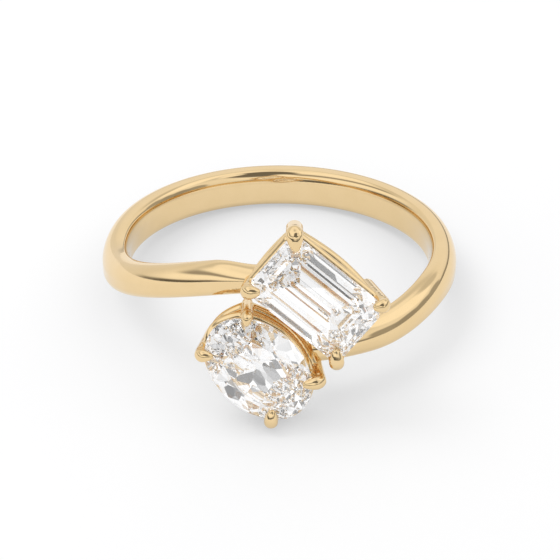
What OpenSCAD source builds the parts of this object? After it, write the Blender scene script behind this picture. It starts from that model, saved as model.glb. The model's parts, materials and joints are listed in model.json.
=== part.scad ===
// Toi et moi ring: an emerald-cut stone and an oval stone side by side on a bypass shank.
// Built with the finger's axis along Z and the stones towards -Y, then laid down on its side
// the way a ring comes to rest: on the back of the shank and on one claw of the oval setting.

/* [Finger hole and shank] */
// Inside diameter of the ring
hole_d = 17; // [15.5:0.25:20]
// Width of the shank along the finger, at the back
shank_w_back = 2.15; // [1.8:0.05:2.6]
// Wall of the shank at the back
shank_t_back = 1.7; // [1.4:0.05:2.1]
// Width of the shank where it meets the settings
shank_w_head = 1.8; // [1.4:0.05:2]
// Wall of the shank where it meets the settings
shank_t_head = 1.3; // [1.1:0.05:1.6]
// Rounding of the shank's outer edges
edge_r_out = 0.56; // [0.4:0.02:0.6]
// Rounding of the shank's inner edges
edge_r_in = 0.44; // [0.3:0.02:0.46]
// How much narrower the left end gets before it goes in under the emerald-cut stone
end_narrow = 0.46; // [0:0.02:0.6]

/* [Head] */
// Distance from the finger hole's wall to the girdle plane, under the stones' middle
head_stand = 2.9; // [2.7:0.05:3.4]
// Lean of the girdle plane towards the left end's side
head_tilt = 10; // [6:1:12]
// Gap between the two stones' girdles
stone_gap = 0.53; // [0.45:0.01:0.8]
// How far the oval stone is slid along the emerald-cut stone, down and to the right
stone_slide = 0.22; // [0:0.02:0.6]

/* [Emerald-cut stone] */
// Length of the emerald-cut stone
emerald_l = 6.3; // [5.9:0.05:6.6]
// Width of the emerald-cut stone
emerald_w = 4; // [3.7:0.05:4.1]
// Size of its cut corners
emerald_corner = 0.62; // [0.5:0.02:0.8]
// Height of its crown
emerald_crown = 0.52; // [0.4:0.02:0.6]
// Depth of its pavilion
emerald_pavilion = 1.9; // [1.6:0.05:2]
// Share of the width that its table takes
emerald_table = 0.62; // [0.55:0.01:0.68]

/* [Oval stone] */
// Length of the oval stone
oval_l = 6.4; // [6:0.05:6.6]
// Width of the oval stone
oval_w = 4.54; // [4.2:0.05:4.7]
// Height of its crown
oval_crown = 0.62; // [0.5:0.02:0.7]
// Depth of its pavilion
oval_pavilion = 1.95; // [1.7:0.05:2.1]
// Share of the width that its table takes
oval_table = 0.56; // [0.5:0.01:0.62]

/* [Claws and rails] */
// Radius of a claw's stem
claw_r = 0.4; // [0.35:0.01:0.44]
// How far a stem's middle stands outside the girdle
claw_out = 0.2; // [0.15:0.01:0.28]
// How far a claw's tip reaches in over the stone
claw_reach = 0.5; // [0.4:0.01:0.6]
// Height of a claw over the girdle
claw_h = 0.74; // [0.66:0.01:0.8]
// Radius of the rail under each girdle
rail_r = 0.27; // [0.24:0.01:0.3]
// Depth of that rail under the girdle plane
rail_depth = 0.68; // [0.6:0.02:0.76]
// How far that rail is set in from the girdle
rail_in = 0.13; // [0.1:0.01:0.16]
// Radius of the lower bars between the stems
bar_r = 0.3; // [0.26:0.01:0.34]
// Depth of the lower bars under the girdle plane
bar_depth = 1.45; // [1.3:0.05:1.6]
// Thickness of both stones' girdles
girdle_t = 0.1; // [0.06:0.01:0.14]
// Clearance between a stone and its setting
seat_gap = 0.03; // [0.02:0.005:0.05]

/* [Hidden] */
hole_r = hole_d / 2;
gold = [0.86, 0.68, 0.38];
diamond = [0.93, 0.95, 0.97];

// Angles round the finger, from the back of the ring: where each end leaves the plane
// of the shank, where its bend would be complete and where the end stops.
left_bend = [89, 180.5];
left_end = 174;
right_bend = [111, 148];
right_end = 171;
// The shank narrows all the way round, and would be done a little past the front. The left
// end narrows once more, from its upper side, over its last part.
taper_end = 200;
narrow_from = 160;
// Share of the wall round the hole that is bored true, as angles left and right of the back.
bored_left = 106;
bored_right = 171;
// Stock that the bore takes away, and how far the bent left end stands clear of it.
bore_stock = 0.1;
bent_relief = 0.04;
station_step = 4.5;
corner_steps = 4;

// How far each stone is turned from the direction across the finger, and the middle of
// the gap between them in the girdle plane, from the point over the finger's axis.
emerald_turn = -40;
oval_turn = -45;
gap_at = [0.384, 1.385];

// Places of the two stones: side by side across the gap
from_gap = turned([0, 1], emerald_turn);
along_gap = turned([1, 0], emerald_turn);
oval_reach = norm([oval_l / 2 * sin(emerald_turn - oval_turn), oval_w / 2 * cos(emerald_turn - oval_turn)]);
emerald_at = gap_at + from_gap * (emerald_w + stone_gap) / 2;
oval_at = gap_at - from_gap * (oval_reach + stone_gap / 2) + along_gap * stone_slide;

// Each claw of a setting, going round from the one at the top left. Columns: side along
// the stone's length, side along its width, lean of the stem in degrees, shares of the
// claw's radius, stand-off and reach, and how far it is set sideways round the girdle.
emerald_claws = [[-1, 1, 4, 1.12, 2.2, 0.95, -0.05], [1, 1, 12.4, 0.98, 1.05, 0.7, 0.3],
    [1, -1, 12, 1.02, 1.2, 1.3, 0], [-1, -1, 8, 1, 0.95, 1, 0]];
oval_claws = [[-1, 1, 2, 0.8, 1.3, 0.5, 0], [1, 1, 4, 0.95, 1.9, 1.1, -0.08],
    [1, -1, 14, 0.95, 0.2, 1.58, -0.08], [-1, -1, 8.5, 0.9, 0.8, 1, 0]];
// Place of the oval's claws round its girdle, as angles from its length
oval_claw_angles = [42, 43.5, 39.5, 35.5];
// Clear way between the finger and the feet of the stems, and the longest stem
foot_gap = 0.35;
stem_most = 3.1;
// How far each lower bar bows out, going round from the top left claw's
emerald_bows = [0.3, 0.2, 0.36, 0.12];
oval_bows = [0.62, 0.5, 0.6, 0.42];
// How far outside the girdle the bars' ends sit in the stems, in the same order
emerald_bar_out = [0.04, -0.15, -0.07, -0.01];
oval_bar_out = [0.21, 0.16, -0.21, -0.15];
claw_sides = 10;
wire_sides = 8;
girdle_points = 32;

function smooth(t) = let (c = max(0, min(1, t))) c * c * (3 - 2 * c);
function mix(a, b, t) = a + (b - a) * t;
function turned(p, a) = [p[0] * cos(a) - p[1] * sin(a), p[0] * sin(a) + p[1] * cos(a)];
function unit(v) = v / norm(v);

// Skin of a row of rings with equal numbers of points, closed by a cap at each end
module loft(rings) {
    n = len(rings[0]);
    last = (len(rings) - 1) * n;
    sides = [for (i = [0 : len(rings) - 2], j = [0 : n - 1], k = [0, 1])
        let (a = i * n + j, b = i * n + (j + 1) % n)
        k == 0 ? [b + n, b, a] : [a + n, b + n, a]];
    caps = [[for (j = [0 : n - 1]) j], [for (j = [n - 1 : -1 : 0]) last + j]];
    polyhedron([for (r = rings, p = r) p], concat(sides, caps));
}

// Skin of a closed row of rings
module loop(rings) {
    n = len(rings[0]);
    m = len(rings);
    sides = [for (i = [0 : m - 1], j = [0 : n - 1], k = [0, 1])
        let (a = i * n + j, b = i * n + (j + 1) % n, up = ((i + 1) % m - i) * n)
        k == 0 ? [b + up, b, a] : [a + up, b + up, a]];
    polyhedron([for (r = rings, p = r) p], sides);
}

// Rounded section of the shank, as distances from the hole's wall and along the finger
function shank_section(w, t, inside) = let (
        ro = min(edge_r_out, t * 0.42, w * 0.42),
        ri = min(edge_r_in, t * 0.42, w * 0.42),
        corners = [[t - ro, w / 2 - ro, ro, 0], [inside + ri, w / 2 - ri, ri, 90],
            [inside + ri, ri - w / 2, ri, 180], [t - ro, ro - w / 2, ro, 270]]
    )
    [for (c = corners, k = [0 : corner_steps])
        let (a = c[3] + 90 * k / corner_steps) [c[0] + c[2] * cos(a), c[1] + c[2] * sin(a)]];

// The left end climbs to the left corner of the emerald-cut stone, and the right end
// drops to a height between that stone's lowest corner and the oval's right claw.
right_share = 0.54;
function corner_height(at, corner, turn) = (at[1] + turned(corner, turn)[1]) * cos(head_tilt);
climb_left = corner_height(emerald_at, emerald_corner_at(3), emerald_turn);
drop_right = -mix(corner_height(emerald_at, emerald_corner_at(2), emerald_turn),
    corner_height(oval_at, oval_corner_at(1), oval_turn), right_share);

// How much of its width the left end has lost at an angle from the back
function end_loss(a) = end_narrow * smooth((a - narrow_from) / (left_end - narrow_from));

// Offset along the finger at an angle from the back, positive to the left
function shank_offset(a) = a > 0
    ? climb_left * smooth((a - left_bend[0]) / (left_bend[1] - left_bend[0]))
    : -drop_right * smooth((-a - right_bend[0]) / (right_bend[1] - right_bend[0]));

function shank_ring(a) = let (
        k = smooth(abs(a) / taper_end),
        w = mix(shank_w_back, shank_w_head, k) - end_loss(a),
        t = mix(shank_t_back, shank_t_head, k),
        inside = a > bored_left ? bent_relief : -bore_stock
    )
    [for (p = shank_section(w, t, inside))
        [-(hole_r + p[0]) * sin(a), (hole_r + p[0]) * cos(a),
            p[1] + shank_offset(a) - end_loss(a) / 2]];

// Band that runs round the finger and passes itself at the front
module shank() {
    steps = ceil((left_end + right_end) / station_step);
    loft([for (i = [0 : steps]) shank_ring(mix(left_end, -right_end, i / steps))]);
}

// Corners of the emerald-cut outline, moved out by grow, going round from the right
function emerald_outline(grow, corner) = let (
        l = emerald_l / 2 + grow,
        w = emerald_w / 2 + grow,
        c = corner
    )
    [[l, w - c], [l - c, w], [c - l, w], [-l, w - c], [-l, c - w], [c - l, -w], [l - c, -w], [l, c - w]];

// Rows of the step cut: share of the way in to the table or the keel, and share of the height
crown_steps = [[0, 0], [0.28, 0.42], [0.62, 0.76], [1, 1]];
pavilion_steps = [[0, 0], [0.22, 0.36], [0.56, 0.72], [0.985, 1]];

// Step-cut stone round the origin, its girdle's top edge at height 0
module emerald_form(grow = 0) {
    half = emerald_w / 2;
    crown_in = half * (1 - emerald_table);
    function row(inset, z) = let (k = inset / half)
        [for (p = emerald_outline(grow - inset, emerald_corner * (1 - 0.85 * k)))
            [p[0], p[1], z]];
    loft(concat(
        [for (i = [len(pavilion_steps) - 1 : -1 : 0]) let (s = pavilion_steps[i])
            row(s[0] * half, -girdle_t - grow - s[1] * emerald_pavilion)],
        [for (s = crown_steps) row(s[0] * crown_in, grow + s[1] * emerald_crown)]));
}

// Oval brilliant round the origin, its girdle's top edge at height 0: eight mains above
// and below, with star, kite and girdle facets whose planes follow from the mains
star_r = 0.79;
lower_r = 0.24;
module oval_form(grow = 0) {
    a = oval_l / 2 + grow;
    b = oval_w / 2 + grow;
    table_r = oval_table / cos(22.5);
    mid = cos(22.5);
    hc = oval_crown;
    hp = oval_pavilion;
    function at(r, ang, z) = [a * r * cos(ang), b * r * sin(ang), z];
    table = [for (k = [0 : 7]) at(table_r, 45 * k, grow + hc)];
    star = [for (k = [0 : 7])
        at(star_r, 45 * k + 22.5, grow + hc * (1 - star_r * mid) / (1 - table_r))];
    top = [for (k = [0 : girdle_points - 1]) at(1, 11.25 * k, grow)];
    bottom = [for (k = [0 : girdle_points - 1]) at(1, 11.25 * k, -girdle_t - grow)];
    lower = [for (k = [0 : 7])
        at(lower_r, 45 * k + 22.5, -girdle_t - grow - hp * (1 - lower_r * mid))];
    culet = [[0, 0, -girdle_t - grow - hp]];
    g = girdle_points;
    s = 8;
    t = 16;
    u = t + g;
    v = u + g;
    c = v + 8;
    faces = concat(
        [[for (k = [0 : 7]) k]],
        [for (k = [0 : 7]) [k, s + k, (k + 1) % 8]],
        [for (k = [0 : 7]) [k, s + (k + 7) % 8, t + 4 * k, s + k]],
        [for (k = [0 : 7], j = [0 : 3]) [s + k, t + 4 * k + j, t + (4 * k + j + 1) % g]],
        [for (k = [0 : g - 1]) [t + k, u + k, u + (k + 1) % g, t + (k + 1) % g]],
        [for (k = [0 : 7], j = [0 : 3]) [v + k, u + (4 * k + j + 1) % g, u + 4 * k + j]],
        [for (k = [0 : 7]) [c, v + k, u + 4 * k, v + (k + 7) % 8]]);
    polyhedron(concat(table, star, top, bottom, lower, culet),
        [for (f = faces) [for (i = [len(f) - 1 : -1 : 0]) f[i]]]);
}

// Point of each stone's outline under a claw, and the direction out of the stone there
function emerald_corner_at(i) = let (c = emerald_claws[i])
    [c[0] * (emerald_l - emerald_corner) / 2, c[1] * (emerald_w - emerald_corner) / 2];
function emerald_out_at(i) = unit([emerald_claws[i][0], emerald_claws[i][1]]);
function oval_corner_at(i) = let (c = oval_claws[i], a = oval_claw_angles[i])
    [c[0] * oval_l / 2 * cos(a), c[1] * oval_w / 2 * sin(a)];
function oval_out_at(i) = let (c = oval_claws[i], a = oval_claw_angles[i])
    unit([c[0] * cos(a) / oval_l, c[1] * sin(a) / oval_w]);

// Depth under the girdle plane at which a stem's foot is foot_gap from the finger
function foot_depth(plane_p) = let (
        x = plane_p[0],
        y = -(hole_r + head_stand) + plane_p[1] * sin(head_tilt),
        r = hole_r + foot_gap + claw_r
    )
    min(stem_most, (-y - sqrt(r * r - x * x)) / cos(head_tilt));

// Point of a claw's own frame in the stone's: outward from its corner, sideways and up
function claw_point(corner, out, o, w, h) =
    [corner[0] + out[0] * o - out[1] * w, corner[1] + out[1] * o + out[0] * w, h];

// Stem from its rounded foot to inside the bead, and the bead that bends over the crown.
// The stem's rings lie flat. The bead's stand upright, from its outer end to its tip.
function stem_rings(corner, out, depth, claw) = let (
        r = claw_r * claw[3],
        foot = [[-0.5, 0.5], [-0.3, 0.86], [0, 1]]
    )
    [for (k = concat(foot, [[1, 1], [2, 0.9]]))
        let (
            z = k[0] <= 0 ? r * k[0] - depth : (k[0] - 1) * claw_h * 0.4,
            o = claw_out * claw[4] + min(z, 0) * tan(claw[2])
        )
        [for (j = [0 : claw_sides - 1]) let (a = 360 * j / claw_sides)
            claw_point(corner, out, o + r * k[1] * cos(a), r * k[1] * sin(a), z)]];

// Columns: share of the bead's length, half width and half height as shares of the stem's
// radius and of the claw's height, and height of its middle as a share of that height
bead_rings = [[0, 0.3, 0.12, 0.3], [0.07, 0.66, 0.28, 0.34], [0.18, 0.9, 0.4, 0.42], [0.34, 1, 0.46, 0.52],
    [0.52, 0.94, 0.42, 0.58], [0.7, 0.76, 0.34, 0.64], [0.86, 0.54, 0.25, 0.68], [0.96, 0.3, 0.14, 0.7]];
function bead(corner, out, claw) = let (
        r = claw_r * claw[3],
        outer = claw_out * claw[4] + r,
        tip = -claw_reach * claw[5]
    )
    [for (k = bead_rings) [for (j = [0 : claw_sides - 1]) let (a = -360 * j / claw_sides)
        claw_point(corner, out, mix(outer, tip, k[0]), r * k[1] * cos(a),
            claw_h * (k[3] + k[2] * sin(a)))]];

// All the claws of a setting, in the stone's own place: each as its stem's and its bead's rings
function setting_claws(claws, corners, outs, at, turn) = [for (i = [0 : 3]) let (
        c = claws[i],
        depth = foot_depth(at + turned(corners[i] + outs[i] * claw_out * c[4], turn))
    )
    [stem_rings(corners[i], outs[i], depth, c), bead(corners[i], outs[i], c)]];
function set_sideways(corner, out, claw) = corner + turned(out, 90) * claw[6];
emerald_outs = [for (i = [0 : 3]) emerald_out_at(i)];
emerald_corners = [for (i = [0 : 3])
    set_sideways(emerald_corner_at(i), emerald_outs[i], emerald_claws[i])];
oval_outs = [for (i = [0 : 3]) oval_out_at(i)];
oval_corners = [for (i = [0 : 3])
    set_sideways(oval_corner_at(i), oval_outs[i], oval_claws[i])];
emerald_claw_rings = setting_claws(emerald_claws, emerald_corners, emerald_outs, emerald_at, emerald_turn);
oval_claw_rings = setting_claws(oval_claws, oval_corners, oval_outs, oval_at, oval_turn);

// Wire of radius r along a row of points, its ends inside the stems that it joins
module bar(points, r) {
    n = len(points);
    function side(i) = let (d = points[min(i + 1, n - 1)] - points[max(i - 1, 0)])
        unit([d[1], -d[0], 0]);
    loft([for (i = [0 : n - 1]) [for (j = [0 : wire_sides - 1])
        let (a = 360 * j / wire_sides)
        points[i] + r * (cos(a) * side(i) + sin(a) * [0, 0, -1])]]);
}

// Four bars between the ends given, from stem to stem, that bow out
module lower_bars(ends, bows) {
    steps = 8;
    for (i = [0 : 3]) {
        p = concat(ends[i], [-bar_depth]);
        q = concat(ends[(i + 1) % 4], [-bar_depth]);
        away = unit([p[1] - q[1], q[0] - p[0], 0]);
        bar([for (s = [0 : steps]) let (t = s / steps)
            mix(p, q, t) + away * bows[i] * sin(180 * t)], bar_r);
    }
}

// Rail under the girdle of the emerald-cut stone
module emerald_rail() {
    inner = emerald_outline(-rail_in - rail_r, emerald_corner * 0.9);
    outer = emerald_outline(rail_r - rail_in, emerald_corner * 1.1);
    loop([for (i = [0 : 7]) let (m = (inner[i] + outer[i]) / 2, e = (outer[i] - inner[i]) / 2)
        [for (j = [0 : wire_sides - 1]) let (a = -360 * j / wire_sides)
            concat(m + e * cos(a), [rail_r * sin(a) - rail_depth])]]);
}

// Rail under the girdle of the oval stone
module oval_rail() {
    steps = 40;
    loop([for (i = [0 : steps - 1]) let (
            t = 360 * i / steps,
            p = [oval_l / 2 * cos(t), oval_w / 2 * sin(t)],
            o = unit([cos(t) / oval_l, sin(t) / oval_w])
        )
        [for (j = [0 : wire_sides - 1]) let (a = -360 * j / wire_sides)
            concat(p + o * (rail_r * cos(a) - rail_in), [rail_r * sin(a) - rail_depth])]]);
}

// Setting for the emerald-cut stone, in the stone's own place
module emerald_setting() {
    for (claw = emerald_claw_rings, rings = claw) loft(rings);
    lower_bars([for (i = [0 : 3]) emerald_corner_at(i) + emerald_outs[i] * emerald_bar_out[i]],
        emerald_bows);
    emerald_rail();
}

// Setting for the oval stone, in the stone's own place
module oval_setting() {
    for (claw = oval_claw_rings, rings = claw) loft(rings);
    lower_bars([for (i = [0 : 3]) oval_corner_at(i) + oval_outs[i] * oval_bar_out[i]], oval_bows);
    oval_rail();
}

// Puts what is drawn on the girdle plane over a stone's place on the ring
module on_head(at, turn) {
    translate([0, -(hole_r + head_stand), 0])
        rotate([90 - head_tilt, 0, 0])
            translate([at[0], at[1], 0])
                rotate(turn)
                    children();
}

// The same move for a point
function head_point(p, at, turn) = let (q = turned(p, turn), v = at[1] + q[1])
    [at[0] + q[0],
        -(hole_r + head_stand) + v * sin(head_tilt) - p[2] * cos(head_tilt),
        v * cos(head_tilt) + p[2] * sin(head_tilt)];

// Points that can touch the floor or the ring's box: the shank's and all the claws'
shank_points = [for (a = [-right_end : station_step : left_end], p = shank_ring(a)) p];
claw_points = concat(
    [for (c = emerald_claw_rings, rings = c, r = rings, p = r)
        head_point(p, emerald_at, emerald_turn)],
    [for (c = oval_claw_rings, rings = c, r = rings, p = r)
        head_point(p, oval_at, oval_turn)]);

// The floor: it touches the lower outer edge of the shank at rest_side degrees from the
// back, runs along that edge there, and meets the lowest claw.
rest_side = -3;
rest_lean_start = 8.5;
edge_r = hole_r + shank_t_back - edge_r_out;
back_touch = [-edge_r * sin(rest_side), edge_r * cos(rest_side), -shank_w_back / 2];
along_edge = [-cos(rest_side), -sin(rest_side), 0];
up_start = [0, -sin(rest_lean_start), cos(rest_lean_start)];
low_start = min([for (p = claw_points) p * up_start]);
claw_touch = [for (p = claw_points) if (p * up_start <= low_start) p][0];
up = unit(cross(back_touch - claw_touch, along_edge));
east = unit([1, 0, 0] - up * up[0]);
north = cross(up, east);
laid_points = [for (p = concat(shank_points, claw_points)) [p * east, p * north, p * up]];
laid_x = [for (p = laid_points) p[0]];
laid_y = [for (p = laid_points) p[1]];
laid_z = [for (p = laid_points) p[2]];
shift = -[(min(laid_x) + max(laid_x)) / 2, (min(laid_y) + max(laid_y)) / 2, min(laid_z)];

// Lays the ring down on its side, over the middle of its box
module laid() {
    multmatrix([for (i = [0 : 2]) concat([east, north, up][i], [shift[i]])])
        children();
}

module gold_ring() {
    color(gold) laid() difference() {
        union() {
            shank();
            on_head(emerald_at, emerald_turn) emerald_setting();
            on_head(oval_at, oval_turn) oval_setting();
        }
        cylinder(h = 30, r = hole_r, center = true, $fn = 96);
        on_head(emerald_at, emerald_turn) emerald_form(seat_gap);
        on_head(oval_at, oval_turn) oval_form(seat_gap);
    }
}

module emerald_cut_stone() {
    color(diamond) laid() on_head(emerald_at, emerald_turn) emerald_form();
}

module oval_stone() {
    color(diamond) laid() on_head(oval_at, oval_turn) oval_form();
}

gold_ring();
emerald_cut_stone();
oval_stone();
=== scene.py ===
"""Toi et moi ring: an emerald-cut and an oval diamond on a gold bypass shank, lying on its side."""

import bmesh
import bpy
import json
from math import cos, pi, radians, sin, sqrt, tan
from mathutils import Matrix, Vector


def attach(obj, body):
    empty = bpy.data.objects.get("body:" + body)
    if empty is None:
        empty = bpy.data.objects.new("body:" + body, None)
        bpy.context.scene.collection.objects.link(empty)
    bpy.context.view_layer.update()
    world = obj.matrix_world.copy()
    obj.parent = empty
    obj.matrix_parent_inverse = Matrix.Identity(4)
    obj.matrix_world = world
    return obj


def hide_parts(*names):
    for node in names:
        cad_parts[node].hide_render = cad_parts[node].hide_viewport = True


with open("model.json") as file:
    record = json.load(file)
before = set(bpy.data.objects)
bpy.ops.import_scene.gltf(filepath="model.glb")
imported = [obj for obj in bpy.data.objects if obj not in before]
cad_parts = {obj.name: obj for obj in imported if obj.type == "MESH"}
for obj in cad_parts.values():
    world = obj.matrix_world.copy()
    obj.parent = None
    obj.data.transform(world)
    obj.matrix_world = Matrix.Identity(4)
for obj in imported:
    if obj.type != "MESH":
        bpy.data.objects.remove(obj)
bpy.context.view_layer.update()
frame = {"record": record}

# Sizes in millimetres and angles in degrees, as in the solids where nothing else is said. The
# ring is worked out with the finger's axis along Z and the stones towards -Y, and is then
# laid where the finger hole's mount says
MM = 0.001
HOLE_R = 8.5

# Width and wall of the shank at its back and where it meets the settings
SHANK = {"w_back": 2.15, "t_back": 1.7, "w_head": 1.8, "t_head": 1.3}
# The shank's upper edges, rounder than the solid's. They are parts of ellipses that meet the
# walls at a slight angle, which shows as a line along the shank. Columns: half width, and the
# angle of the ellipse at which it meets the wall. Half heights are shares of the width
DOME_OUT = (0.9, 12)
DOME_IN = (0.38, 8)
DOME_OUT_HEIGHT = {"back": 0.62, "left_end": 0.42, "right_end": 0.7}
DOME_IN_HEIGHT = 0.46
# The most that both domes take of the wall together, as a share, and how far below each dome
# the wall has its first point
DOMES_MOST = 0.97
WALL_LINE = 0.05
# Radii of the lower edges, and the most that each takes of the wall, as a share
EDGE_OUT = 0.56
EDGE_IN = 0.44
EDGE_MOST = 0.42
# How much higher the rounder top stands at the back, so that it looks as high as the solid's
SWELL = 0.15
# Angles round the shank from its back: where the taper would be done, where the swell fades
# away on both sides, where the outer dome changes on the right-hand side, between which angles
# each end leaves the shank's plane, and where it stops. The left end starts to narrow 3
# degrees sooner than the solid's
TAPER_END = 200
SWELL_FADE = (60, 120)
RIGHT_DOME = (60, 130)
LEFT_BEND = (89, 180.5)
RIGHT_BEND = (111, 148)
LEFT_END = 174
RIGHT_END = 171
LEFT_NARROW = (157, LEFT_END)
# How much narrower the left end gets, how far it climbs and how far the right end drops
END_NARROW = 0.46
CLIMB_LEFT = 3.6
DROP_RIGHT = 0.66

# From the finger hole's wall to the girdle plane, and that plane's lean
HEAD_STAND = 2.9
HEAD_TILT = 10
GIRDLE = 0.1
SEAT_GAP = 0.03

# Crown and pavilion are heights, and the emerald cut's table is a share of its width. The
# oval's is what its tiers of facets leave. Each stone's middle and turn are in the girdle plane
EMERALD = {"l": 6.3, "w": 4.0, "corner": 0.62, "crown": 0.52, "pavilion": 1.9, "table": 0.62}
EMERALD_AT = (1.84, 3.12)
EMERALD_TURN = -40
OVAL = {"l": 6.4, "w": 4.54, "crown": 0.62, "pavilion": 1.95}
OVAL_AT = (-1.082, -0.705)
OVAL_TURN = -45

# A claw's stem, how far it stands outside the girdle and reaches in, and its height over it
CLAW_R = 0.4
CLAW_OUT = 0.2
CLAW_REACH = 0.5
CLAW_H = 0.74
# The rail under each girdle, set in from it, and the lower bars between the stems. Inside and
# outside, the emerald cut's rail has cut corners of these shares of the stone's
RAIL_R = 0.27
RAIL_DEPTH = 0.68
RAIL_IN = 0.13
RAIL_CORNERS = (0.9, 1.1)
BAR_R = 0.3
BAR_DEPTH = 1.45
# A stem's foot keeps this far from the finger hole, and is at most this deep
FOOT_GAP = 0.35
STEM_MOST = 3.1

# Each claw, going round from the one at the top left. Columns: side along the stone's
# length, side along its width, lean of the stem, shares of the claw's radius, stand-off and
# reach, and how far it is set sideways round the girdle
EMERALD_CLAWS = [
    (-1, 1, 4, 1.12, 2.2, 0.95, -0.05),
    (1, 1, 12.4, 0.98, 1.05, 0.7, 0.3),
    (1, -1, 12, 1.02, 1.2, 1.3, 0),
    (-1, -1, 8, 1.0, 0.95, 1.0, 0),
]
OVAL_CLAWS = [
    (-1, 1, 2, 0.8, 1.3, 0.5, 0),
    (1, 1, 4, 0.95, 1.9, 1.1, -0.08),
    (1, -1, 14, 0.95, 0.2, 1.58, -0.08),
    (-1, -1, 8.5, 0.9, 0.8, 1.0, 0),
]
# Where on the oval's outline each claw stands, as an angle of the ellipse
OVAL_CLAW_ANGLES = (42, 43.5, 39.5, 35.5)
# How far each lower bar bows out, and how far outside each of the stone's corners it ends
EMERALD_BOWS = (0.3, 0.2, 0.36, 0.12)
OVAL_BOWS = (0.62, 0.5, 0.6, 0.42)
EMERALD_BAR_OUT = (0.04, -0.15, -0.07, -0.01)
OVAL_BAR_OUT = (0.21, 0.16, -0.21, -0.15)
# Rounding of a stem's foot. Columns: depth under the stem, as a share of its radius, and share
# of the radius there
STEM_FOOT = [(0.5, 0.5), (0.3, 0.86), (0, 1)]
# Top of the stem, inside the bead: shares of the claw's height and of the stem's radius
STEM_TOP = (0.4, 0.9)
# Columns: share of the bead's length, half width and half height as shares of the stem's
# radius and of the claw's height, and height of its middle as a share of that height
BEAD_RINGS = [
    (0, 0.3, 0.12, 0.3),
    (0.07, 0.66, 0.28, 0.34),
    (0.18, 0.9, 0.4, 0.42),
    (0.34, 1, 0.46, 0.52),
    (0.52, 0.94, 0.42, 0.58),
    (0.7, 0.76, 0.34, 0.64),
    (0.86, 0.54, 0.25, 0.68),
    (0.96, 0.3, 0.14, 0.7),
]


def smooth(t):
    """From 0 to 1 as t does, starting and ending gently."""
    t = max(0, min(1, t))
    return t * t * (3 - 2 * t)


def progress(a, ends):
    """From 0 at the first of two angles to 1 at the second."""
    return smooth((a - ends[0]) / (ends[1] - ends[0]))


def mix(a, b, t):
    return a + (b - a) * t


# Placing


def ring_matrix():
    """From the ring's own frame in millimetres to the row frame in metres."""
    mount = next(m for m in frame["record"]["mounts"] if m["name"] == "finger_hole")
    axis = Vector(mount["axis"]).normalized()
    ring_x = Vector((0, 1, 0)).cross(axis).normalized()
    ring_y = axis.cross(ring_x)
    turn = Matrix((ring_x, ring_y, axis)).transposed().to_4x4()
    return Matrix.Translation(Vector(mount["pos_m"])) @ turn @ Matrix.Scale(MM, 4)


def head_matrix(at, turn):
    """From a stone's own place, its girdle's top edge at height 0, to the ring's frame."""
    lift = Matrix.Translation((0, -(HOLE_R + HEAD_STAND), 0))
    lean = Matrix.Rotation(radians(90 - HEAD_TILT), 4, "X")
    return lift @ lean @ Matrix.Translation((*at, 0)) @ Matrix.Rotation(radians(turn), 4, "Z")


RING = ring_matrix()
EMERALD_PLACE = head_matrix(EMERALD_AT, EMERALD_TURN)
OVAL_PLACE = head_matrix(OVAL_AT, OVAL_TURN)


def new_object(name, bm, matrix, flat=False):
    """An object with the mesh of bm, placed by the matrix and shaded smooth or flat."""
    bmesh.ops.recalc_face_normals(bm, faces=bm.faces)
    mesh = bpy.data.meshes.new(name)
    bm.to_mesh(mesh)
    bm.free()
    mesh.transform(matrix)
    for face in mesh.polygons:
        face.use_smooth = not flat
    obj = bpy.data.objects.new(name, mesh)
    bpy.context.scene.collection.objects.link(obj)
    return obj


def apply_modifiers(obj):
    """Gives the object the mesh that its modifiers make."""
    bpy.context.view_layer.update()
    evaluated = obj.evaluated_get(bpy.context.evaluated_depsgraph_get())
    mesh = bpy.data.meshes.new_from_object(evaluated)
    obj.modifiers.clear()
    old = obj.data
    obj.data = mesh
    bpy.data.meshes.remove(old)


# Skins


def add_loft(bm, rings, matrix=None, closed=False):
    """Adds the skin of a row of rings to bm, capped at both ends or closed on itself."""
    rows = []
    for ring in rings:
        points = [Vector(p) if matrix is None else matrix @ Vector(p) for p in ring]
        rows.append([bm.verts.new(p) for p in points])
    pairs = list(zip(rows, rows[1:]))
    if closed:
        pairs.append((rows[-1], rows[0]))
    for a, b in pairs:
        for j in range(len(a)):
            k = (j + 1) % len(a)
            bm.faces.new((a[j], a[k], b[k], b[j]))
    if not closed:
        bm.faces.new(list(reversed(rows[0])))
        bm.faces.new(rows[-1])


# Shank


def shank_section(w, t, swell, dome, steps=14):
    """Points of the rounded section: distance from the hole's wall, place along the finger."""
    (out_x, out_from), (in_x, in_from) = DOME_OUT, DOME_IN
    share = min(1, DOMES_MOST * t / (out_x + in_x))
    top = w / 2 + swell
    out_x, in_x = out_x * share, in_x * share
    out_y, in_y = dome * w, DOME_IN_HEIGHT * w
    out_low, in_low = min(EDGE_OUT, t * EDGE_MOST), min(EDGE_IN, t * EDGE_MOST)
    corners = [
        (t - out_x * cos(radians(out_from)), top - out_y, out_x, out_y, out_from, 90),
        (in_x * cos(radians(in_from)), top - in_y, in_x, in_y, 90, 180 - in_from),
        (in_low, in_low - w / 2, in_low, in_low, 180, 270),
        (t - out_low, out_low - w / 2, out_low, out_low, 270, 360),
    ]
    points = []
    for x, y, rx, ry, start, end in corners:
        for k in range(steps + 1):
            a = radians(mix(start, end, k / steps))
            points.append((x + rx * cos(a), y + ry * sin(a)))
    # The outer dome starts at its wall, and the inner one, the second corner, ends at its own
    outer, inner = points[0], points[2 * steps + 1]
    points.insert(2 * steps + 2, (inner[0], inner[1] - WALL_LINE))
    return [(outer[0], outer[1] - WALL_LINE)] + points


def end_loss(a):
    """How much of its width the left end has lost."""
    return END_NARROW * progress(a, LEFT_NARROW)


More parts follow.
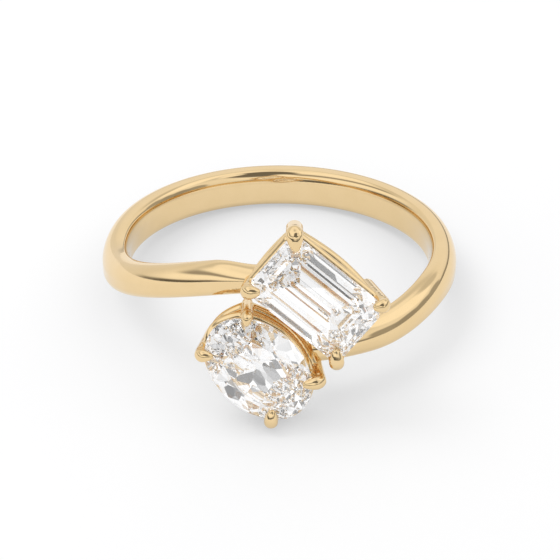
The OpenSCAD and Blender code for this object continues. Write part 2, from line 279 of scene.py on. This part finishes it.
def shank_offset(a):
    """How far the shank's middle has left its plane."""
    if a > 0:
        return CLIMB_LEFT * progress(a, LEFT_BEND)
    return -DROP_RIGHT * progress(-a, RIGHT_BEND)


def dome_height(a):
    """Half height of the outer dome as a share of the width, rounder on the right-hand side."""
    back = DOME_OUT_HEIGHT["back"]
    if a > 0:
        return mix(back, DOME_OUT_HEIGHT["left_end"], end_loss(a) / END_NARROW)
    return mix(back, DOME_OUT_HEIGHT["right_end"], progress(-a, RIGHT_DOME))


def shank_ring(a):
    """The section in its place at an angle from the back, left-hand side positive."""
    k = smooth(abs(a) / TAPER_END)
    width = mix(SHANK["w_back"], SHANK["w_head"], k) - end_loss(a)
    wall = mix(SHANK["t_back"], SHANK["t_head"], k)
    swell = SWELL * (1 - progress(abs(a), SWELL_FADE))
    section = shank_section(width, wall, swell, dome_height(a))
    rise = shank_offset(a) - end_loss(a) / 2
    s, c = sin(radians(a)), cos(radians(a))
    return [(-(HOLE_R + r) * s, (HOLE_R + r) * c, z + rise) for r, z in section]


def make_shank(steps=230):
    bm = bmesh.new()
    add_loft(bm, [shank_ring(mix(LEFT_END, -RIGHT_END, i / steps)) for i in range(steps + 1)])
    return new_object("shank", bm, RING)


# Settings


def emerald_outline(grow, c):
    """The step cut's outline, grown all round, with cut corners of size c."""
    l, w = EMERALD["l"] / 2 + grow, EMERALD["w"] / 2 + grow
    right = [(l, w - c), (l - c, w)]
    left = [(c - l, w), (-l, w - c), (-l, c - w), (c - l, -w)]
    return right + left + [(l - c, -w), (l, c - w)]


def emerald_corner(i):
    """A claw's place on the outline, and the direction outwards there."""
    side_l, side_w = EMERALD_CLAWS[i][:2]
    l, w, c = EMERALD["l"], EMERALD["w"], EMERALD["corner"]
    corner = Vector((side_l * (l - c) / 2, side_w * (w - c) / 2))
    return corner, Vector((side_l, side_w)).normalized()


def oval_corner(i):
    """A claw's place on the outline, and the direction outwards there."""
    side_l, side_w = OVAL_CLAWS[i][:2]
    a = radians(OVAL_CLAW_ANGLES[i])
    l, w = OVAL["l"], OVAL["w"]
    corner = Vector((side_l * l / 2 * cos(a), side_w * w / 2 * sin(a)))
    return corner, Vector((side_l * cos(a) / l, side_w * sin(a) / w)).normalized()


def foot_depth(p):
    """Depth under the girdle plane at which a stem's foot is clear of the finger."""
    y = -(HOLE_R + HEAD_STAND) + p.y * sin(radians(HEAD_TILT))
    r = HOLE_R + FOOT_GAP + CLAW_R
    return min(STEM_MOST, (-y - sqrt(r * r - p.x * p.x)) / cos(radians(HEAD_TILT)))


def claw_point(corner, out, o, w, h):
    """The point that lies o outwards of the corner, w sideways and h up."""
    return (corner.x + out.x * o - out.y * w, corner.y + out.y * o + out.x * w, h)


def round_ring(corner, out, o, rw, rh, h, upright=False, sides=28):
    """A ring round o outwards and h up: flat as in a stem, or upright as in a bead."""
    ring = []
    for j in range(sides):
        a = 2 * pi * j / sides
        if upright:
            ring.append(claw_point(corner, out, o, rw * cos(a), h + rh * sin(a)))
        else:
            ring.append(claw_point(corner, out, o + rw * cos(a), rh * sin(a), h))
    return ring


def add_claw(bm, corner, out, claw, place, at, turn):
    """A leaning stem from the shank up past the girdle, with a bead that reaches in."""
    lean, radius_share, stand_share, reach_share, sideways = claw[2:]
    r, stand = CLAW_R * radius_share, CLAW_OUT * stand_share
    corner = corner + Vector((-out.y, out.x)) * sideways
    base = Vector(at) + Matrix.Rotation(radians(turn), 2) @ (corner + out * stand)
    depth = foot_depth(base)
    rows = [(-depth - r * below, share) for below, share in STEM_FOOT]
    rows += [(0, 1), (CLAW_H * STEM_TOP[0], STEM_TOP[1])]
    stem = []
    for z, share in rows:
        o = stand + min(z, 0) * tan(radians(lean))
        stem.append(round_ring(corner, out, o, r * share, r * share, z))
    add_loft(bm, stem, place)
    tip = -CLAW_REACH * reach_share
    bead = []
    for along, half_w, half_h, mid in BEAD_RINGS:
        o = mix(stand + r, tip, along)
        size = r * half_w, CLAW_H * half_h
        bead.append(round_ring(corner, out, o, *size, CLAW_H * mid, upright=True))
    add_loft(bm, bead, place)


def bar_ends(corners, outwards):
    """Where the bars meet the stems, seen along the stone's axis."""
    return [corner + out * far for (corner, out), far in zip(corners, outwards)]


def add_bars(bm, ends, bows, place, steps=24, sides=18):
    """The lower bars from stem to stem, each bowing out."""
    for i in range(4):
        p, q = (Vector((*ends[k % 4], -BAR_DEPTH)) for k in (i, i + 1))
        away = Vector((p.y - q.y, q.x - p.x, 0)).normalized()
        points = [
            p.lerp(q, s / steps) + away * bows[i] * sin(pi * s / steps) for s in range(steps + 1)
        ]
        rings = []
        for s, point in enumerate(points):
            d = points[min(s + 1, steps)] - points[max(s - 1, 0)]
            side = Vector((d.y, -d.x, 0)).normalized()
            ring = []
            for j in range(sides):
                a = 2 * pi * j / sides
                ring.append(point + BAR_R * (cos(a) * side + sin(a) * Vector((0, 0, -1))))
            rings.append(ring)
        add_loft(bm, rings, place)


def add_emerald_rail(bm, sides=18):
    inner = emerald_outline(-RAIL_IN - RAIL_R, EMERALD["corner"] * RAIL_CORNERS[0])
    outer = emerald_outline(RAIL_R - RAIL_IN, EMERALD["corner"] * RAIL_CORNERS[1])
    rings = []
    for a, b in zip(inner, outer):
        m, e = (Vector(a) + Vector(b)) / 2, (Vector(b) - Vector(a)) / 2
        ring = []
        for j in range(sides):
            t = 2 * pi * j / sides
            p = m + e * cos(t)
            ring.append((p.x, p.y, RAIL_R * sin(t) - RAIL_DEPTH))
        rings.append(ring)
    add_loft(bm, rings, EMERALD_PLACE, closed=True)


def add_oval_rail(bm, steps=120, sides=18):
    rings = []
    for i in range(steps):
        t = 2 * pi * i / steps
        p = Vector((OVAL["l"] / 2 * cos(t), OVAL["w"] / 2 * sin(t)))
        o = Vector((cos(t) / OVAL["l"], sin(t) / OVAL["w"])).normalized()
        ring = []
        for j in range(sides):
            a = 2 * pi * j / sides
            q = p + o * (RAIL_R * cos(a) - RAIL_IN)
            ring.append((q.x, q.y, RAIL_R * sin(a) - RAIL_DEPTH))
        rings.append(ring)
    add_loft(bm, rings, OVAL_PLACE, closed=True)


def make_settings(voxel=0.05, relax=10):
    """Both settings as one cast piece: claws, rails and bars, with soft joints between them."""
    bm = bmesh.new()
    emerald = [emerald_corner(i) for i in range(4)]
    oval = [oval_corner(i) for i in range(4)]
    for i in range(4):
        add_claw(bm, *emerald[i], EMERALD_CLAWS[i], EMERALD_PLACE, EMERALD_AT, EMERALD_TURN)
        add_claw(bm, *oval[i], OVAL_CLAWS[i], OVAL_PLACE, OVAL_AT, OVAL_TURN)
    add_bars(bm, bar_ends(emerald, EMERALD_BAR_OUT), EMERALD_BOWS, EMERALD_PLACE)
    add_bars(bm, bar_ends(oval, OVAL_BAR_OUT), OVAL_BOWS, OVAL_PLACE)
    add_emerald_rail(bm)
    add_oval_rail(bm)
    settings = new_object("settings", bm, Matrix.Identity(4))
    remesh = settings.modifiers.new("cast", "REMESH")
    remesh.mode = "VOXEL"
    remesh.voxel_size = voxel
    remesh.use_smooth_shade = True
    relaxed = settings.modifiers.new("polish", "SMOOTH")
    relaxed.factor = 0.5
    relaxed.iterations = relax
    apply_modifiers(settings)
    seat(settings)
    settings.data.transform(RING)
    return settings


def seat(settings):
    """Cuts the stones' seats into the settings, with the same clearance as the solids have."""
    cutters = [
        new_object("cut_a", emerald_form(SEAT_GAP), EMERALD_PLACE),
        new_object("cut_b", oval_form(SEAT_GAP), OVAL_PLACE),
    ]
    for cutter in cutters:
        cut = settings.modifiers.new("seat", "BOOLEAN")
        cut.operation = "DIFFERENCE"
        cut.solver = "MANIFOLD"
        cut.object = cutter
    apply_modifiers(settings)
    for cutter in cutters:
        bpy.data.objects.remove(cutter)
    for face in settings.data.polygons:
        face.use_smooth = True


# Stones


def cut_stone(planes):
    """The closed form within all the planes, each an outward normal and a point on it. Each
    plane is a point of the dual form, whose faces are this form's corners."""
    middle = Vector((0, 0, -GIRDLE / 2))
    dual = bmesh.new()
    for normal, point in planes:
        dual.verts.new(normal / normal.dot(point - middle))
    bmesh.ops.convex_hull(dual, input=dual.verts)
    bm = bmesh.new()
    for face in dual.faces:
        bm.verts.new(middle + face.normal / face.normal.dot(face.verts[0].co))
    dual.free()
    bmesh.ops.remove_doubles(bm, verts=bm.verts, dist=1e-4)
    bmesh.ops.convex_hull(bm, input=bm.verts)
    bmesh.ops.dissolve_limit(bm, angle_limit=radians(0.2), verts=bm.verts, edges=bm.edges)
    return bm


# Rows of the step cut: share of the way in to the table or the keel, share of the height
CROWN_STEPS = [(0, 0), (0.28, 0.42), (0.62, 0.76), (1, 1)]
PAVILION_STEPS = [(0, 0), (0.22, 0.36), (0.56, 0.72), (0.985, 1)]
# Share of the cut corners' size that is lost by the middle of the stone
CORNER_LOSS = 0.85


def emerald_form(grow=0):
    """Step cut, with flat facets from row to row of its outline."""
    half = EMERALD["w"] / 2
    crown_in = half * (1 - EMERALD["table"])

    def row(inset, z):
        corner = EMERALD["corner"] * (1 - CORNER_LOSS * inset / half)
        outline = emerald_outline(grow - inset, corner)
        return [(x, y, z) for x, y in outline]

    depth, height = EMERALD["pavilion"], EMERALD["crown"]
    rows = [row(s * half, -GIRDLE - grow - h * depth) for s, h in reversed(PAVILION_STEPS)]
    rows += [row(s * crown_in, grow + h * height) for s, h in CROWN_STEPS]
    bm = bmesh.new()
    add_loft(bm, rows)
    return bm


# Tiers of the oval's facets, steeper below than the solid's. Columns: number of facets, turn
# in facets, slope, distance in from the girdle of a point that the tier's planes go through,
# and that point's height as a share of the crown's or the pavilion's
OVAL_CROWN = [(16, 0.5, 46, 0, 0), (8, 0, 34, 0, 0), (8, 0.5, 24, 0.62, 0.72)]
OVAL_PAVILION = [(16, 0.5, 47, 0, 0), (16, 0, 42, 0.28, 0.17), (8, 0.5, 38, 1.0, 0.52)]


def oval_form(grow=0, segments=96):
    """Oval brilliant: a table, and tiers of facets whose slope is the same all round."""
    l, w = OVAL["l"] / 2 + grow, OVAL["w"] / 2 + grow
    up = Vector((0, 0, 1))

    def rim(share, inset):
        t = 2 * pi * share
        out = Vector((w * cos(t), l * sin(t), 0)).normalized()
        return Vector((l * cos(t), w * sin(t), 0)) - out * inset, out

    planes = [(up, up * (OVAL["crown"] + grow)), (-up, -up * (GIRDLE + OVAL["pavilion"] + grow))]
    for k in range(segments):
        point, out = rim((k + 0.5) / segments, 0)
        planes.append((out, point))
    for tiers, side, start, height in (
        (OVAL_CROWN, 1, grow, OVAL["crown"]),
        (OVAL_PAVILION, -1, -GIRDLE - grow, OVAL["pavilion"]),
    ):
        for count, turn, slope, inset, rise in tiers:
            for k in range(count):
                point, out = rim((k + turn) / count, inset)
                point.z = start + side * rise * height
                lean = radians(slope)
                planes.append((out * sin(lean) + up * side * cos(lean), point))
    return cut_stone(planes)


# Materials

# Each material goes a little to and fro between two colours. The grain is its noise's scale
GOLD = {"low": (0.82, 0.615, 0.34), "high": (0.835, 0.63, 0.355), "grain": 900}
GOLD_ROUGHNESS = (0.05, 0.08)
DIAMOND = {"low": (0.99, 0.99, 1.0), "high": (1.0, 1.0, 1.0), "grain": 250}
DIAMOND_IOR = 2.417
FLOOR = {"low": (0.435, 0.435, 0.44), "high": (0.445, 0.445, 0.445), "grain": 40}
FLOOR_GLOW = 0.52


def new_material(name):
    material = bpy.data.materials.new(name)
    material.use_nodes = True
    nodes, links = material.node_tree.nodes, material.node_tree.links
    return material, nodes, links, nodes["Principled BSDF"]


def noise_ramp(nodes, links, grain, low, high, detail=3):
    """A noise in object space, spread between two colours. Gives the sockets of both."""
    place = nodes.new("ShaderNodeTexCoord")
    noise = nodes.new("ShaderNodeTexNoise")
    noise.inputs["Scale"].default_value = grain
    noise.inputs["Detail"].default_value = detail
    ramp = nodes.new("ShaderNodeValToRGB")
    ramp.color_ramp.elements[0].position = 0.35
    ramp.color_ramp.elements[0].color = (*low, 1)
    ramp.color_ramp.elements[1].position = 0.65
    ramp.color_ramp.elements[1].color = (*high, 1)
    links.new(place.outputs["Object"], noise.inputs["Vector"])
    links.new(noise.outputs["Fac"], ramp.inputs["Fac"])
    return ramp.outputs["Color"], noise.outputs["Fac"]


def gold_material():
    """Polished pale yellow gold, with the faint unevenness that polishing leaves."""
    material, nodes, links, shader = new_material("polished_gold")
    shader.inputs["Metallic"].default_value = 1
    colour, fac = noise_ramp(nodes, links, **GOLD)
    links.new(colour, shader.inputs["Base Color"])
    rough = nodes.new("ShaderNodeMapRange")
    rough.inputs["To Min"].default_value, rough.inputs["To Max"].default_value = GOLD_ROUGHNESS
    links.new(fac, rough.inputs["Value"])
    links.new(rough.outputs["Result"], shader.inputs["Roughness"])
    return material


def diamond_material():
    """Clear diamond, with the faintest trace of colour."""
    material, nodes, links, shader = new_material("diamond")
    shader.inputs["Transmission Weight"].default_value = 1
    shader.inputs["Roughness"].default_value = 0
    shader.inputs["IOR"].default_value = DIAMOND_IOR
    colour, _ = noise_ramp(nodes, links, **DIAMOND)
    links.new(colour, shader.inputs["Base Color"])
    return material


def floor_material():
    """Plain pale sheet that glows, so that shadows on it stay light."""
    material, nodes, links, shader = new_material("pale_floor")
    colour, _ = noise_ramp(nodes, links, **FLOOR)
    links.new(colour, shader.inputs["Base Color"])
    shader.inputs["Emission Color"].default_value = (1, 1, 1, 1)
    shader.inputs["Emission Strength"].default_value = FLOOR_GLOW
    shader.inputs["Roughness"].default_value = 0.8
    shader.inputs["Specular IOR Level"].default_value = 0.1
    return material


def dress(obj, material, node):
    """The object stands for a node of the ring's one body."""
    obj.data.materials.clear()
    obj.data.materials.append(material)
    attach(obj, "root")
    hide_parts(node)


# Stage, camera and light

# The camera in the ring's frame, in millimetres: it looks from the stones' side towards the
# finger hole's centre. The photograph's side, the focal length and where that centre lies in
# the photograph are in pixels
CAMERA_DISTANCE = 110.0
CAMERA_ELEVATION = 27.47
SENSOR = 36
PHOTO_SIZE = 560
FOCAL_PX = 1936.4
RING_CENTRE_PX = (279.43, 254.75)
# The rest of the stage in metres, and the key light's power in watts
CLIP = (0.001, 10)
FLOOR_REACH = 0.6
KEY_PLACE = Vector((-0.16, 0.06, 0.26))
KEY_SIDE = 0.16
KEY_POWER = 0.25
# Many, as light goes to and fro inside the stones
BOUNCES = 32


def make_camera():
    data = bpy.data.cameras.new("camera")
    data.sensor_width = SENSOR
    data.lens = FOCAL_PX * SENSOR / PHOTO_SIZE
    data.clip_start, data.clip_end = CLIP
    data.shift_x = (PHOTO_SIZE / 2 - RING_CENTRE_PX[0]) / PHOTO_SIZE
    data.shift_y = (RING_CENTRE_PX[1] - PHOTO_SIZE / 2) / PHOTO_SIZE
    camera = bpy.data.objects.new("camera", data)
    bpy.context.scene.collection.objects.link(camera)
    e = radians(CAMERA_ELEVATION)
    place = RING @ Vector((0, -CAMERA_DISTANCE * cos(e), CAMERA_DISTANCE * sin(e)))
    turn = RING.to_3x3().normalized() @ Matrix.Rotation(pi / 2 - e, 3, "X")
    camera.matrix_world = Matrix.Translation(place) @ turn.to_4x4()
    bpy.context.scene.camera = camera


def make_floor():
    bm = bmesh.new()
    bmesh.ops.create_grid(bm, x_segments=2, y_segments=2, size=FLOOR_REACH)
    floor = new_object("floor", bm, Matrix.Identity(4))
    floor.data.materials.append(floor_material())


def make_key_light():
    """A square softbox high on the left and a little behind, which the gold doesn't mirror."""
    data = bpy.data.lights.new("key", "AREA")
    data.size = KEY_SIDE
    data.energy = KEY_POWER
    key = bpy.data.objects.new("key", data)
    bpy.context.scene.collection.objects.link(key)
    key.location = KEY_PLACE
    key.rotation_euler = (-KEY_PLACE).to_track_quat("-Z", "Y").to_euler()
    key.visible_glossy = False


def facing(nodes, links, direction, round_to, up, inner, outer):
    """1 within inner degrees of a direction, falling to 0 at outer degrees. The direction is
    given in degrees round from the camera's side to the right, and in degrees up."""
    flat = cos(radians(up))
    x, y = flat * sin(radians(round_to)), -flat * cos(radians(round_to))
    dot = nodes.new("ShaderNodeVectorMath")
    dot.operation = "DOT_PRODUCT"
    dot.inputs[1].default_value = Vector((x, y, sin(radians(up)))).normalized()
    links.new(direction, dot.inputs[0])
    spread = nodes.new("ShaderNodeMapRange")
    spread.interpolation_type = "SMOOTHSTEP"
    spread.inputs["From Min"].default_value = cos(radians(outer))
    spread.inputs["From Max"].default_value = cos(radians(inner))
    links.new(dot.outputs["Value"], spread.inputs["Value"])
    return spread.outputs["Result"]


def blend(nodes, links, fac, a, b):
    """From value a where fac is 0 to value b where it is 1; a and b are sockets or numbers."""
    mixer = nodes.new("ShaderNodeMix")
    links.new(fac, mixer.inputs["Factor"])
    for socket, value in ((mixer.inputs[2], a), (mixer.inputs[3], b)):
        if isinstance(value, (int, float)):
            socket.default_value = value
        else:
            links.new(value, socket)
    return mixer.outputs[0]


# Brightness of the whole studio
STUDIO_LEVEL = 1.07
# The studio's brightness against the sine of the angle up from the horizon: in front and on
# the left, where a bright strip stands low between two dark gaps, and elsewhere
SKY_FRONT = [
    (-0.06, 0.15),
    (0.08, 0.15),
    (0.18, 1.0),
    (0.38, 1.08),
    (0.5, 0.38),
    (0.56, 0.38),
    (0.67, 1.0),
    (0.8, 1.1),
    (0.97, 1.05),
    (1.0, 0.6),
]
SKY_BACK = [
    (-0.06, 0.3),
    (0.05, 0.3),
    (0.13, 0.85),
    (0.36, 0.93),
    (0.55, 0.85),
    (0.65, 0.72),
    (0.75, 0.75),
    (0.86, 1.05),
    (0.97, 1.0),
    (1.0, 0.6),
]
# Where the first of the two holds. Columns: degrees round from the camera's side to the right,
# degrees up, inner and outer radius in degrees
FRONT = (-35, 20, 50, 75)
# Cards and softboxes round the ring, each over those before it. Columns: the same, and brightness
CARDS = [
    (-145, 0, 20, 40, 0.82),
    (16, 43, 19, 27, 0.18),
    (-4, 22, 7, 12, 1.1),
    (46, 46, 6, 11, 1.05),
    (95, 42, 16, 24, 1.12),
    (66, 8, 7, 12, 0.4),
    (80, 7, 7, 12, 0.36),
    (94, 7, 6, 11, 0.38),
    (108, 8, 6, 11, 0.42),
    (128, 38, 8, 16, 0.66),
]


def scaled(nodes, links, value, factor):
    times = nodes.new("ShaderNodeMath")
    times.operation = "MULTIPLY"
    times.inputs[1].default_value = factor
    links.new(value, times.inputs[0])
    return times.outputs["Value"]


def sky_value(nodes, links, height, sky, most=2):
    """Brightness, up to most, from a curve over height, which goes from 0 straight down to 1
    straight up."""
    curve = nodes.new("ShaderNodeFloatCurve")
    points = curve.mapping.curves[0].points
    while len(points) < len(sky):
        points.new(0.5, 0.5)
    for point, (at, brightness) in zip(points, sky):
        point.location = ((at + 1) / 2, brightness / most)
    curve.mapping.update()
    links.new(height, curve.inputs["Value"])
    return scaled(nodes, links, curve.outputs["Value"], most)


def make_world():
    """A white studio: bright overhead, with dark gaps between its lights."""
    world = bpy.data.worlds.new("studio")
    bpy.context.scene.world = world
    world.use_nodes = True
    nodes, links = world.node_tree.nodes, world.node_tree.links
    direction = nodes.new("ShaderNodeTexCoord").outputs["Generated"]
    split = nodes.new("ShaderNodeSeparateXYZ")
    links.new(direction, split.inputs["Vector"])
    height = nodes.new("ShaderNodeMapRange")
    height.inputs["From Min"].default_value = -1
    links.new(split.outputs["Z"], height.inputs["Value"])
    front = sky_value(nodes, links, height.outputs["Result"], SKY_FRONT)
    back = sky_value(nodes, links, height.outputs["Result"], SKY_BACK)
    value = blend(nodes, links, facing(nodes, links, direction, *FRONT), back, front)
    for *where, brightness in CARDS:
        value = blend(nodes, links, facing(nodes, links, direction, *where), value, brightness)
    background = nodes["Background"]
    links.new(scaled(nodes, links, value, STUDIO_LEVEL), background.inputs["Strength"])
    background.inputs["Color"].default_value = (1, 1, 1, 1)


scene = bpy.context.scene
scene.view_settings.view_transform = "Standard"
scene.cycles.max_bounces = BOUNCES
scene.cycles.glossy_bounces = BOUNCES
scene.cycles.transmission_bounces = BOUNCES
scene.cycles.caustics_reflective = False
make_camera()
make_floor()
make_world()
make_key_light()

gold = gold_material()
diamond = diamond_material()
shank = make_shank()
settings = make_settings()
dress(shank, gold, "gold_ring")
dress(settings, gold, "gold_ring")
emerald_stone = new_object("emerald_cut_diamond", emerald_form(), RING @ EMERALD_PLACE, flat=True)
oval_stone = new_object("oval_diamond", oval_form(), RING @ OVAL_PLACE, flat=True)
dress(emerald_stone, diamond, "emerald_cut_stone")
dress(oval_stone, diamond, "oval_stone")
